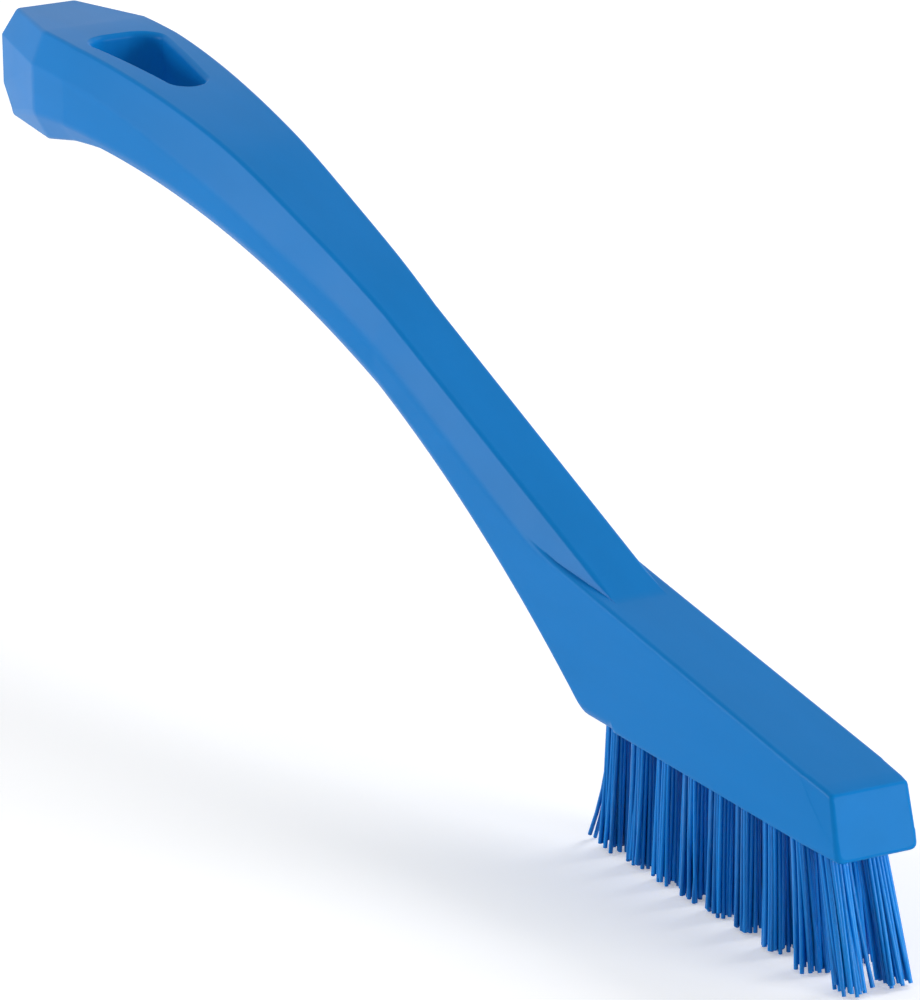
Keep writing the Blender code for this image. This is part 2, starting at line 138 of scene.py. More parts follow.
# The sums below are rows of a result's name, a Math node's operation and its values. A name stands
# for an earlier result or an input of the tree.

# Roots: the filaments of a tuft fill a half disc beside the anchor, as an even grid that is bent to it
ROOT_SUMS = (
    ("layer", "MODULO", "index", "Layers"),
    ("layer middle", "ADD", "layer", 0.5),
    ("outward", "DIVIDE", "layer middle", "Layers"),
    ("lines", "DIVIDE", "index", "Layers"),
    ("line", "FLOOR", "lines"),
    ("line middle", "ADD", "line", 0.5),
    ("line share", "DIVIDE", "line middle", "Filaments Across"),
    ("sideways", "MULTIPLY_ADD", "line share", 2.0, -1.0),
    ("outward squared", "MULTIPLY", "outward", "outward"),
    ("sideways squared", "MULTIPLY", "sideways", "sideways"),
    ("outward room", "MULTIPLY_ADD", "sideways squared", -0.5, 1.0),
    ("sideways room", "MULTIPLY_ADD", "outward squared", -0.5, 1.0),
    ("outward factor", "SQRT", "outward room"),
    ("sideways factor", "SQRT", "sideways room"),
    ("disc along", "MULTIPLY", "outward", "outward factor"),
    ("disc across", "MULTIPLY", "sideways", "sideways factor"),
    ("depth", "SUBTRACT", "Packed Radius", "Anchor Gap"),
    ("root along", "MULTIPLY_ADD", "disc along", "depth", "Anchor Gap"),
    ("root across", "MULTIPLY", "disc across", "Packed Radius"),
    ("count", "MULTIPLY", "Layers", "Filaments Across"),
)

# Legs: steps are counted from the top of the fold, and each leg has its own number
LEG_SUMS = (
    ("from fold", "SUBTRACT", "run", 0.5),
    ("side", "SIGN", "from fold"),
    ("signed step", "MULTIPLY", "from fold", 2.0 * LEG_STEPS),
    ("step", "ABSOLUTE", "signed step"),
    ("leg", "MULTIPLY_ADD", "filament", 2.0, "side"),
)
LEG_RANGES = {
    "fold turn": (0.0, FOLD_STEPS, 0.0, math.pi / 2),
    "in hole": (FOLD_STEPS, FOLD_STEPS + 1.0, 1.0, 0.0),
    "down": (FOLD_STEPS + 1.0, LEG_STEPS, 0.0, 1.0),
}

# Random values of a leg and the lowest that each can be; the highest is 1
LEG_CHANCES = {
    "sway along": -1.0,
    "sway across": -1.0,
    "bow chance along": -1.0,
    "bow chance across": -1.0,
    "tip chance": 0.0,
    "tone": 0.0,
    "stray chance": 0.5,
}

# Path: round the fold, down the hole and on with the tuft's spread and the filament's own tilt and bow
PATH_SUMS = (
    ("fold sine", "SINE", "fold turn"),
    ("fold cosine", "COSINE", "fold turn"),
    ("signed out", "MULTIPLY", "side", "out"),
    ("leg along", "MULTIPLY", "signed out", "fold sine"),
    ("fold height", "ADD", "out", "Fold Lift"),
    ("above shoulder", "MULTIPLY_ADD", "fold height", "fold cosine", "Shoulder"),
    ("rise", "MULTIPLY", "above shoulder", "in hole"),
    ("flare reach", "MULTIPLY", "Packed Radius", "Visible Length"),
    ("flare", "DIVIDE", "Spread", "flare reach"),
    ("tilt along", "MULTIPLY", "sway along", "Tilt"),
    ("tilt across", "MULTIPLY", "sway across", "Tilt"),
    ("lean along", "MULTIPLY_ADD", "leg along", "flare", "tilt along"),
    ("lean across", "MULTIPLY_ADD", "across", "flare", "tilt across"),
    ("bow along", "MULTIPLY", "bow chance along", "Bend"),
    ("bow across", "MULTIPLY", "bow chance across", "Bend"),
    ("down squared", "MULTIPLY", "down", "down"),
    ("radius", "MULTIPLY", "Filament Diameter", 0.5),
)

# Trim: every leg ends near the floor, and those that stand far out towards the stray reach bow away
TRIM_SUMS = (
    ("tip height", "MULTIPLY_ADD", "tip chance", "Unevenness", "Lowest Tip"),
    ("fall", "SUBTRACT", "tip height", "start height"),
    ("reach", "DIVIDE", "fall", "heading height"),
    ("travel", "MULTIPLY", "reach", "down"),
    ("is stray", "GREATER_THAN", "straying", "Stray Limit"),
    ("stray bow", "MULTIPLY", "is stray", "down squared"),
    ("stray share", "MULTIPLY", "stray bow", "stray chance"),
)


def linear(hex_colour):
    """Turns an sRGB hex colour into a linear one that is opaque."""
    channels = [int(hex_colour[place : place + 2], 16) / 255 for place in (1, 3, 5)]
    return (*(c / 12.92 if c <= 0.04045 else ((c + 0.055) / 1.055) ** 2.4 for c in channels), 1.0)


def length(name, description, millimetres):
    """A length property whose default is given in millimetres."""
    return FloatProperty(
        name=name, description=description, default=millimetres * MM, unit="LENGTH", precision=5
    )


def number(name, description, default):
    """A whole number property."""
    return IntProperty(name=name, description=description, default=default)


def angle(name, description, degrees):
    """An angle property whose default is given in degrees."""
    return FloatProperty(
        name=name, description=description, default=math.radians(degrees), subtype="ANGLE"
    )


def colour(name, description, hex_colour):
    """A colour property whose default is an sRGB hex colour."""
    return FloatVectorProperty(
        name=name, description=description, default=linear(hex_colour), size=4, subtype="COLOR"
    )


class BrushBodySizes(bpy.types.PropertyGroup):
    """Sizes of the moulded body, with places from the hanging end and heights from the drilled face."""

    grip_top: length("Grip top", "Height of the flat top of the grip", 51.35)
    end_width: length("End width", "Width of the hanging end", 11.7)
    end_flat: length("End flat", "Width of the flat top at the hanging end", 8.4)
    end_sole: length("End sole", "Width of the underside at the hanging end", 10.2)
    end_top_drop: length("End top drop", "Fall of the top to the hanging end", 0.45)
    end_sole_drop: length("End sole drop", "Fall of the underside to the hanging end", 1.6)
    end_top_setback: length("End top setback", "Slope of the end face above the sides", 1.4)
    end_sole_setback: length("End sole setback", "Slope of the end face below its bend", 0.9)
    end_facet: length("End facet", "Height of the slanted facet at the hanging end", 3.5)
    end_side: length("End side", "Height of the upright part of the end face", 6.3)
    end_under: length("End under", "Height of the end face below its bend", 4.45)
    end_rounding: length("End rounding", "Rounding round the end face", 0.45)
    corner_x: length("Grip corner", "Place of the widest section", 15.8)
    grip_width: length("Grip width", "Width at the grip's corner", 17.9)
    grip_flat: length("Grip flat", "Width of the flat top at the grip's corner", 14.4)
    grip_sole: length("Grip sole", "Width of the underside at the grip's corner", 13.8)
    taper_start: length("Taper start", "Place where the plan begins to narrow", 25.0)
    taper_end: length("Taper end", "Place where the neck reaches the width of the head", 100.4)
    neck_flat: length("Neck flat", "Width of the flat top where the neck begins", 6.9)
    landing_flat: length("Landing flat", "Width of the flat top where the neck lands", 6.5)
    flat_hollow: length("Flat hollow", "How much narrower the flat top is half along its taper", 0.6)
    top_hollow: length("Top hollow", "How far the top lies below its arc before the neck", 0.4)
    top_hollow_start: length("Top hollow start", "Place where the top leaves its arc", 60.0)
    head_width: length("Head width", "Width of the neck and the head", 9.7)
    facet: length("Facet height", "Height of the slanted facet", 4.1)
    facet_swell: length("Facet swell", "Extra height of the facet half way along the taper", 1.2)
    grip_depth: length("Grip depth", "Height of the side of the grip with its facet", 10.05)
    underside_start: length("Underside start", "Place where the arc of the underside begins", 24.0)
    bend_margin: length("Bend margin", "Radius that the top's bend has over the underside's", 9.0)
    hook_depth: length("Hook depth", "Depth of the lower facet at the hanging end", 3.7)
    hook_end: length("Hook end", "Place where the hook runs out", 32.5)
    sole_depth: length("Sole depth", "Depth of the lower facet along the neck", 1.55)
    sole_inset: length("Sole inset", "How much narrower the underside is on a side", 1.05)
    head_length: length("Head length", "Length of the drilled face", 54.7)
    landing: length("Neck landing", "From the tip to where the neck lands on the head", 50.7)
    landing_fillet: length("Landing fillet", "Blend where the neck's top lands on the head", 0.2)
    notch_fillet: length("Notch fillet", "Blend where the slanted facet lands on the head", 0.73)
    heel_fillet: length("Heel fillet", "Blend where the underside meets the drilled face", 0.84)
    heel_run_out: length("Heel run-out", "Length of that blend on the drilled face", 1.26)
    heel_chamfer: length("Heel chamfer", "Chamfer along the drilled face at the heel", 0.9)
    heel_inset: length("Heel inset", "How much narrower the drilled face is on a side there", 0.6)
    heel_chamfer_length: length("Heel chamfer length", "How far that chamfer runs", 6.0)
    head_edge: length("Head edge", "Small chamfer along the drilled face", 0.3)
    head_taper: angle("Head taper", "Slope of the top of the head", 8.3)
    tip_height: length("Tip height", "Height of the end face of the head", 7.4)
    tip_setback: length("Tip setback", "How far the end face leans back", 1.75)
    tip_width: length("Tip width", "Width of the head at its tip", 10.2)
    tip_draw: length("Tip draw", "How far the tip facet draws in at its top", 0.25)
    tip_facet: length("Tip facet", "Length of the facet beside the end face", 5.6)
    tip_step: length("Tip step", "Step down to that facet", 0.06)
    tip_rounding: length("Tip rounding", "Rounding round the end face of the head", 0.6)
    tip_corner: length("Tip corner", "Rounding of the lower corners of the end face", 0.5)
    rounding: length("Edge rounding", "Rounding along the moulded edges", 0.6)
    ridge_rounding: length("Ridge rounding", "Rounding along the edges of the flat top", 0.45)
    grip_rounding: length("Grip side rounding", "Crisp rounding above the sides of the grip", 0.25)
    neck_rounding: length("Neck side rounding", "Soft rounding above the sides of the neck", 1.0)
    crisp_end: length("Crisp end", "Place where the rounding above the sides is softest", 90.0)


class HangingHoleSizes(bpy.types.PropertyGroup):
    """Sizes of the rounded triangular hole through the grip."""

    back_x: length("Back", "Place of the back of the hole", 22.6)
    long: length("Length", "Length of the hole", 21.9)
    back_width: length("Back width", "Width of the hole at its back", 9.4)
    back_radius: length("Back radius", "Rounding of the two back corners", 3.2)
    nose_radius: length("Nose radius", "Rounding of the nose", 2.4)
    rim: length("Rim", "Rounding where the hole meets the outside", 0.8)


class TuftSizes(bpy.types.PropertyGroup):
    """Sizes of the tufts and the blind holes that hold them."""

    per_row: number("Tufts in a row", "Number of tufts in each row", 9)
    columns: number("Layers", "Filaments nested on a side of the anchor", 3)
    rows: number("Filaments across", "Filaments side by side along the anchor", 6)
    pitch: length("Pitch", "Distance between the tufts of a row", 5.68)
    row_spacing: length("Row spacing", "Distance between the two rows", 4.5)
    tip_margin: length("Tip margin", "From the foot of the tip to the last tuft", 5.56)
    hole_diameter: length("Hole diameter", "Diameter of a blind hole", 3.6)
    hole_depth: length("Hole depth", "Depth of a blind hole", 4.8)
    filament: length("Filament", "Diameter of a filament", 0.5)
    packed_radius: length("Packed radius", "Radius on which the outer filaments stand", 1.5)
    anchor_gap: length("Anchor gap", "Half the gap that the anchor takes between the legs", 0.28)
    shoulder: length("Shoulder", "Height above the mouth where a fold begins", 2.92)
    fold_lift: length("Fold lift", "Extra height of each fold over the anchor", 0.15)
    spread: length("Spread", "How far the outer filaments spread by the floor", 0.2)
    lowest_tip: length("Lowest tip", "Height of the lowest trimmed tip", 0.08)
    unevenness: length("Uneven tips", "Largest difference between trimmed tips", 0.85)
    bend: length("Bend", "Largest bow of a filament at its tip", 0.35)
    tilt: angle("Tilt", "Largest random tilt of a filament", 1.0)
    heel_fan: angle("Heel fan", "Lean of the first tuft", -2.5)
    tip_fan: angle("Tip fan", "Lean of the last tuft", 17.0)
    row_lean: angle("Row lean", "Outward lean of each row", 1.2)
    stray_limit: length("Stray limit", "How far out a filament stands that bows away", 1.3)
    seed: number("Seed", "Seed of the tufts' irregularities", 7)


class FinishColours(bpy.types.PropertyGroup):
    """Colours of the finishes."""

    plastic: colour("Plastic", "Blue of the moulded polypropylene", "#0c79c4")
    plastic_deep: colour("Plastic, deeper", "Where the pigment is a little denser", "#0a76bf")
    filament: colour("Filament", "Blue of the polyester filaments", "#0a8ae2")
    filament_deep: colour("Filament, deeper", "The darkest of the filaments", "#014b92")
    steel: colour("Anchor wire", "Grey of the stainless wire", "#c6c8ca")
    paper: colour("Paper", "White of the studio floor", "#f4f4f4")


class StudioSizes(bpy.types.PropertyGroup):
    """Camera and lamps. Azimuth 0 stands at -Y and 90 at +X."""

    azimuth: angle("Azimuth", "Direction of the camera", 61.98)
    elevation: angle("Elevation", "Height of the camera above the horizon", 17.7)
    roll: angle("Roll", "Turn of the camera about its own axis", -0.94)
    distance: length("Distance", "From the camera to the middle of the brush", 800.0)
    aim_x: length("Aim along", "Place that the camera looks at, along the brush", -0.672)
    aim_z: length("Aim height", "Height of the place that the camera looks at", 35.55)
    slide_right: length("Slide right", "How far the camera stands to the right of its aim", 4.744)
    slide_up: length("Slide up", "How far the camera stands above its aim", -8.278)
    lens: FloatProperty(
        name="Lens", description="Focal length on a 36 mm frame", default=245.69, unit="CAMERA"
    )
    floor: length("Floor", "Side of the paper floor", 8000.0)
    lamp_distance: length("Lamp distance", "From the brush to each soft box", 1200.0)
    lamp_size: length("Lamp size", "Side of each soft box", 500.0)
    room: FloatProperty(name="Room light", description="Strength of the world", default=0.456)
    paper_lift: FloatProperty(name="Paper lift", description="Light of the paper itself", default=0.3)


def blend(x, x0, value0, x1, value1):
    """Runs straight from value0 at x0 to value1 at x1 and stays level outside them."""
    share = min(max((x - x0) / (x1 - x0), 0.0), 1.0)
    return value0 + (value1 - value0) * share


def swell(x, x0, x1):
    """Rises from 0 at x0 to 1 half way and falls back to 0 at x1."""
    return 0.5 - 0.5 * math.cos(2 * math.pi * blend(x, x0, 0.0, x1, 1.0))


def filled_max(first, second, reach):
    """The higher of two heights, with a fillet where they cross."""
    closeness = max(reach - abs(first - second), 0.0) / reach
    return max(first, second) + closeness**2 * reach / 4


def towards(point, other, distance):
    """The place at a distance from the point on the way to the other, short of half way."""
    way = other - point
    if way.length < MERGE_DISTANCE:
        return point.copy()
    return point + way * min(distance / way.length, ROUNDING_SHARE)


def arc_points(start, corner, finish):
    """Points on the curve that leaves start towards the corner and arrives at finish."""
    shares = [step / ARC_STEPS for step in range(ARC_STEPS + 1)]
    return [start * (1 - t) ** 2 + corner * 2 * t * (1 - t) + finish * t**2 for t in shares]


def rim(radius):
    """Depths below a face and distances in from its side, round the quarter circle between them."""
    angles = [math.pi / 2 * step / RIM_STEPS for step in range(RIM_STEPS + 1)]
    return [(radius * (1 - math.cos(a)), radius * (1 - math.sin(a))) for a in angles]


def drawn_in(points, amount):
    """Draws a half section in from its outline, for the rounded rim of an end face."""
    low = min(point.y for point in points)
    high = max(point.y for point in points)
    middle = (low + high) / 2
    across = 1 - amount / max(point.x for point in points)
    tall = 1 - 2 * amount / (high - low)
    return [Vector((point.x * across, middle + (point.y - middle) * tall)) for point in points]


class BodyRails:
    """The lines that the moulded body is skinned on, worked out from its sizes.

    X is measured from the hanging end and heights from the drilled face.
    """

    def __init__(self, sizes):
        self.size = sizes
        self.long = BODY_HIGH.x - BODY_LOW.x
        self.heel_x = self.long - sizes.head_length
        self.landing_x = self.long - sizes.landing
        self.chamfer_end_x = self.heel_x + sizes.heel_chamfer_length
        self.tip_top_x = self.long - sizes.tip_setback
        self.tip_facet_x = self.tip_top_x - sizes.tip_facet
        # The underside is an arc that leaves the grip level and comes down to the heel
        self.under_level = sizes.grip_top - sizes.grip_depth
        run = self.heel_x - sizes.underside_start
        self.under_radius = (run**2 + self.under_level**2) / (2 * self.under_level)
        self.heel_slope = run / math.sqrt(self.under_radius**2 - run**2)
        self.heel_corner_x = self.heel_x - sizes.heel_chamfer / self.heel_slope
        # The top's bend is a larger arc, and the straight neck leads from it to its landing on the head
        self.bend_radius = self.under_radius + sizes.bend_margin
        across = self.landing_x - sizes.corner_x
        up = self.head_top(self.landing_x) - (sizes.grip_top - self.bend_radius)
        self.pitch = math.atan2(across, up) - math.acos(self.bend_radius / math.hypot(across, up))
        self.bend_end_x = sizes.corner_x + self.bend_radius * math.sin(self.pitch)
        self.fall = math.tan(self.pitch) - math.tan(sizes.head_taper)
        self.notch_x = self.landing_x - sizes.facet / self.fall

    def head_top(self, x):
        """The flat top of the head, which slopes down to the tip."""
        return self.size.tip_height + (self.tip_top_x - x) * math.tan(self.size.head_taper)

    def neck_top(self, x):
        """The top of the grip bends down on a large arc and leaves it as the straight neck."""
        size = self.size
        hollow = size.top_hollow * swell(x, size.top_hollow_start, size.taper_end)
        if x >= self.bend_end_x:
            straight = self.head_top(self.landing_x) + (self.landing_x - x) * math.tan(self.pitch)
            return straight - hollow
        along = max(x - size.corner_x, 0.0)
        return size.grip_top - self.bend_radius + math.sqrt(self.bend_radius**2 - along**2) - hollow

    def top(self, x):
        """The flat top of the whole body, blended where the neck lands on the head."""
        return filled_max(self.neck_top(x), self.head_top(x), self.size.landing_fillet)

    def facet(self, x):
        """Height of the slanted facet."""
        size = self.size
        return size.facet + size.facet_swell * swell(x, size.taper_start, size.taper_end)

    def facet_foot(self, x):
        """The foot of the slanted facet, which runs out on the head as a ledge."""
        return filled_max(self.neck_top(x) - self.facet(x), self.head_top(x), self.size.notch_fillet)

    def underside(self, x):
        """The arched underside, before its lower facet and the drilled face are reckoned in."""
        if x < self.size.underside_start:
            return self.under_level - self.size.end_sole_drop * (1 - x / self.size.underside_start)
        along = min(x - self.size.underside_start, self.under_radius)
        return self.under_level - self.under_radius + math.sqrt(self.under_radius**2 - along**2)

    def lower_edge(self, x):
        """Height of the chamfer along the drilled face, which grows into the corner at the tip."""
        if x <= self.chamfer_end_x:
            return self.size.heel_chamfer
        return blend(x, self.tip_facet_x, self.size.head_edge, self.tip_top_x, self.size.tip_corner)

    def side_foot(self, x):
        """The foot of the side, on the underside or above the drilled face's chamfer."""
        return filled_max(self.underside(x), self.lower_edge(x), self.size.heel_fillet)

    def sole_depth(self, x):
        """Height of the lower facet, deep at the hanging end and shallow along the neck."""
        size = self.size
        if x < size.hook_end:
            return blend(x, size.corner_x, size.hook_depth, size.hook_end, size.sole_depth)
        return blend(x, size.taper_end, size.sole_depth, self.heel_x, size.heel_chamfer)

    def sole(self, x):
        """The bottom between the lower facets, which is 0 on the drilled face."""
        if x > self.heel_corner_x + self.size.heel_run_out / self.heel_slope:
            return 0.0
        return filled_max(self.underside(x) - self.sole_depth(x), 0.0, self.size.heel_fillet)

    def half_width(self, x):
        """Half the width at the sides, which narrow along the grip and widen again to the tip."""
        size = self.size
        if x > self.heel_x:
            return blend(x, self.heel_x, size.head_width, self.tip_top_x, size.tip_width) / 2
        return blend(x, size.taper_start, size.grip_width, size.taper_end, size.head_width) / 2

    def half_flat(self, x):
        """Half the width of the flat top."""
        size = self.size
        if x > size.taper_end:
            return blend(x, size.taper_end, size.neck_flat, self.landing_x, size.landing_flat) / 2
        hollow = size.flat_hollow * swell(x, size.taper_start, size.taper_end)
        return (blend(x, size.taper_start, size.grip_flat, size.taper_end, size.neck_flat) - hollow) / 2

    def half_side_top(self, x):
        """The sides draw in at their top beside the end face."""
        drawn = blend(x, self.tip_facet_x, self.tip_step(x), self.tip_top_x, self.size.tip_draw)
        return self.half_width(x) - drawn if x > self.tip_facet_x else self.half_width(x)

    def tip_step(self, x):
        """Depth of the step along the crease, which grows over its own length of a few tenths."""
        return blend(x, self.tip_facet_x, 0.0, self.tip_facet_x + STATION_CLEARANCE, self.size.tip_step)

    def half_sole(self, x):
        """Half the width of the bottom between the lower facets."""
        size = self.size
        if x < size.hook_end:
            hook_end = self.half_width(size.hook_end) - size.sole_inset
            return blend(x, size.corner_x, size.grip_sole / 2, size.hook_end, hook_end)
        if x > self.chamfer_end_x:
            return self.half_width(x) - self.lower_edge(x)
        return self.half_width(x) - blend(x, size.hook_end, size.sole_inset, self.heel_x, size.heel_inset)

    def side_rounding(self, x):
        """Rounding above the side: crisp on the grip, soft on the neck and between them on the head."""
        size = self.size
        if x < size.crisp_end:
            return blend(x, size.hook_end, size.grip_rounding, size.crisp_end, size.neck_rounding)
        return blend(x, size.taper_end, size.neck_rounding, self.notch_x, size.rounding)

    def section(self, x):
        """Right half of a section: flat, notch, top of the side, foot of the side, sole."""
        top = self.top(x)
        notch_z = self.facet_foot(x)
        flat = self.half_flat(x)
        side = self.half_side_top(x)
        notch = flat + (self.half_width(x) - flat) * (top - notch_z) / self.facet(x)
        return [
            Vector((flat, top)),
            Vector((notch, notch_z)),
            Vector((side, notch_z)),
            Vector((self.half_width(x), self.side_foot(x))),
            Vector((self.half_sole(x), self.sole(x))),
        ]

    def crease(self, x, high, low):
        """Two places on the side, a step apart, on the line from the tip facet's top to its foot.

        At the hanging end they lie on the bend of its face.
        """
        if x < self.size.corner_x:
            half = self.size.end_width / 2
            return [Vector((half, self.end_bend() - step)) for step in (0.0, CREASE_WIDTH)]
        share = blend(x, self.tip_facet_x, CREASE_TOP, self.long - self.size.tip_rounding, CREASE_FOOT)
        if x <= self.tip_facet_x:
            return [high.lerp(low, share), high.lerp(low, share + CREASE_SHARE)]
        upper = Vector((self.half_width(x) - self.tip_step(x), high.y + (low.y - high.y) * share))
        return [upper, Vector((self.half_width(x), upper.y - CREASE_WIDTH))]

    def rounded(self, points, x):
        """Rounds the corners. A notch narrower than the side's rounding starts above the side's edge."""
        flat, notch, side, foot, bottom = points
        edge = self.side_rounding(x)
        ledge = (notch - side).length
        reach = towards(side, notch, edge)
        ridge = towards(flat, notch, self.size.ridge_rounding)
        if ledge < edge / ROUNDING_SHARE:
            hidden = min(ledge, edge)
            reach = notch + (side - notch) * (1 - hidden / ledge) if ledge > MERGE_DISTANCE else notch
            notch = towards(notch, flat, edge - hidden)
            if hidden == ledge:
                reach = notch
        crown = Vector((0.0, flat.y))
        centre = Vector((0.0, bottom.y))
        low = self.size.rounding
        side_high = towards(side, foot, edge)
        side_low = towards(foot, side, low)
        return [
            *arc_points(towards(flat, crown, (ridge - flat).length), flat, ridge),
            notch,
            *arc_points(reach, side, side_high),
            *self.crease(x, side_high, side_low),
            *arc_points(side_low, foot, towards(foot, bottom, low)),
            *arc_points(towards(bottom, foot, low), bottom, towards(bottom, centre, low)),
        ]

    def end_top(self):
        """Height of the top at the hanging end."""
        return self.size.grip_top - self.size.end_top_drop

    def end_bend(self):
        """Height at which the hanging end's face bends under."""
        return self.end_top() - self.size.end_facet - self.size.end_side

    def end_section(self):
        """The sides reach down to the sole here, where the lower facet begins with next to no height."""
        shoulder = self.end_top() - self.size.end_facet
        sole = self.end_bend() - self.size.end_under
        return [
            Vector((self.size.end_flat / 2, self.end_top())),
            Vector((self.size.end_width / 2, shoulder)),
            Vector((self.size.end_width / 2, shoulder)),
            Vector((self.size.end_sole / 2, sole + self.size.end_rounding)),
            Vector((self.size.end_sole / 2 - self.size.end_rounding / 2, sole)),
        ]

    def hanging_end_x(self, height):
        """The end face slopes back above the side facets and below its bend."""
        shoulder = self.end_top() - self.size.end_facet
        if height > shoulder:
            return blend(height, shoulder, 0.0, self.end_top(), self.size.end_top_setback)
        bend = self.end_bend()
        return blend(height, bend - self.size.end_under, self.size.end_sole_setback, bend, 0.0)

    def tip_x(self, height):
        """The end face of the head leans back from the drilled face."""
        return self.long - self.size.tip_setback * height / self.size.tip_height

    def fillet_places(self, x, reach, slope):
        """Section places along a fillet, where two lines that differ by this slope cross."""
        shares = [2 * step / FILLET_STEPS - 1 for step in range(FILLET_STEPS + 1)]
        return [x + reach / slope * share for share in shares]

    def stations(self):
        """Section places from the grip's corner to the tip: where a line turns, and at even steps."""
        size = self.size
        places = [size.corner_x, size.taper_start, size.underside_start, size.hook_end, size.taper_end]
        places += [self.chamfer_end_x, self.chamfer_end_x + size.head_edge, self.tip_facet_x]
        extra = self.fillet_places(self.notch_x, size.notch_fillet, self.fall)
        extra += self.fillet_places(self.landing_x, size.landing_fillet, self.fall)
        extra += self.fillet_places(self.heel_corner_x, size.heel_fillet, self.heel_slope)
        steps = int((self.tip_top_x - size.tip_rounding - size.corner_x) / STATION_STEP)
        extra += [size.corner_x + step * STATION_STEP for step in range(1, steps + 1)]
        for x in extra:
            if min(abs(x - other) for other in places) > STATION_CLEARANCE:
                places.append(x)
        return sorted(places)

    def rings(self):
        """Every section as a list of half points in space, hanging end first."""
        made = []
        end = self.rounded(self.end_section(), 0.0)
        for depth, amount in rim(self.size.end_rounding):
            pairs = zip(end, drawn_in(end, amount))
            made.append([Vector((self.hanging_end_x(old.y) + depth, *new)) for old, new in pairs])
        for x in self.stations():
            made.append([Vector((x, *point)) for point in self.rounded(self.section(x), x)])
        tip = self.rounded(self.section(self.tip_top_x), self.tip_top_x)
        for depth, amount in reversed(rim(self.size.tip_rounding)):
            pairs = zip(tip, drawn_in(tip, amount))
            made.append([Vector((self.tip_x(old.y) - depth, *new)) for old, new in pairs])
        return made


def link(made):
    """Puts an object in the scene."""
    bpy.context.scene.collection.objects.link(made)
    return made


def object_from(bm, name):
    """Turns a bmesh into an object of the scene."""
    mesh = bpy.data.meshes.new(name)
    bm.to_mesh(mesh)
    bm.free()
    return link(bpy.data.objects.new(name, mesh))


def feed(tree, node, links):
    """Joins or sets a node's inputs, by name or number. A node stands for its first output."""
    for name, value in links.items():
        if isinstance(value, bpy.types.Node):
            value = value.outputs[0]
        if isinstance(value, bpy.types.NodeSocket):
            tree.links.new(value, node.inputs[name])
        else:
            node.inputs[name].default_value = value


def add(tree, kind, links=None, **settings):
    """Adds a node with its settings and links."""
    node = tree.nodes.new(kind)
    for name, value in settings.items():
        setattr(node, name, value)
    feed(tree, node, links or {})
    return node


def seen_directly(tree):
    """1 for what the camera, gloss and glass show, and 0 for the light that falls on things."""
    rays = add(tree, "ShaderNodeLightPath").outputs
    seen = rays["Is Camera Ray"]
    for kind in ("Is Glossy Ray", "Is Transmission Ray"):
        seen = add(tree, "ShaderNodeMath", {0: seen, 1: rays[kind]}, operation="MAXIMUM")
    return seen


def skin(bm, loops):
    """Joins each loop of vertices to the next with faces of four sides."""
    for near, far in zip(loops, loops[1:]):
        for index in range(len(near)):
            after = (index + 1) % len(near)
            bm.faces.new((near[index], far[index], far[after], near[after]))


def skinned_body(rails):
    """Skins the sections, right and left, with the bottom of the drilled face at the frame's height."""
    bm = bmesh.new()
    shift = Vector((BODY_LOW.x, 0.0, BODY_LOW.z))
    loops = []
    for half in rails.rings():
        left = [point * Vector((1.0, -1.0, 1.0)) for point in reversed(half)]
        loops.append([bm.verts.new(point + shift) for point in half + left])
    skin(bm, loops)
    count = len(loops[0])
    for index in range(count // 2 - 1):
        opposite = count - 1 - index
        bm.faces.new([loops[0][place] for place in (index, index + 1, opposite - 1, opposite)])
    bm.faces.new(loops[-1])
    bmesh.ops.remove_doubles(bm, verts=bm.verts, dist=MERGE_DISTANCE)
    bmesh.ops.recalc_face_normals(bm, faces=bm.faces)
    return object_from(bm, "moulded_handle_and_head")


def rounded_triangle(hole):
    """Outline of the hanging hole, round its nose and its back corners, as (point, outward direction)."""
    back_x = hole.back_x + hole.back_radius
    back_y = hole.back_width / 2 - hole.back_radius
    nose_x = hole.back_x + hole.long - hole.nose_radius
    reach = math.hypot(nose_x - back_x, back_y)
    slope = math.atan2(back_y, nose_x - back_x) + math.asin((hole.back_radius - hole.nose_radius) / reach)
    side = math.pi / 2 - slope
    arcs = [
        (Vector((nose_x, 0.0)), hole.nose_radius, -side, side, NOSE_STEPS),
        (Vector((back_x, back_y)), hole.back_radius, side, math.pi, CORNER_STEPS),
        (Vector((back_x, -back_y)), hole.back_radius, math.pi, 2 * math.pi - side, CORNER_STEPS),
    ]
    corners = []
    for centre, radius, start, finish, steps in arcs:
        for step in range(steps + 1):
            turn = start + (finish - start) * step / steps
            outward = Vector((math.cos(turn), math.sin(turn)))
            corners.append((centre + outward * radius, outward))
    # The straight sides have places of their own, so that the rim follows the curved top
    outline = []
    for (near, outward), (far, outward_far) in zip(corners, corners[1:] + corners[:1]):
        steps = max(round((far - near).length / STATION_STEP), 1)
        for share in [step / steps for step in range(steps)]:
            outline.append((near.lerp(far, share), outward.lerp(outward_far, share)))
    return outline


def hanging_hole_cutter(rails, hole):
    """Follows the grip's top and sole, flaring at both to leave a rounded rim."""
    layers = [(hole.rim, -CUT_OVERSHOOT)]
    layers += [(inset, depth - CUT_SKIM) for depth, inset in rim(hole.rim)]
    bm = bmesh.new()
    loops = []
    for side in (1, -1):
        for offset, depth in layers if side == 1 else reversed(layers):
            loop = []
            for point, outward in rounded_triangle(hole):
                place = point + outward * offset
                surface = rails.top(place.x) if side == 1 else rails.sole(place.x)
                height = BODY_LOW.z + surface - side * depth
                loop.append(bm.verts.new((BODY_LOW.x + place.x, place.y, height)))
            loops.append(loop)
    skin(bm, loops)
    bm.faces.new(loops[0])
    bm.faces.new(loops[-1])
    bmesh.ops.recalc_face_normals(bm, faces=bm.faces)
    return object_from(bm, "hanging_hole_cutter")


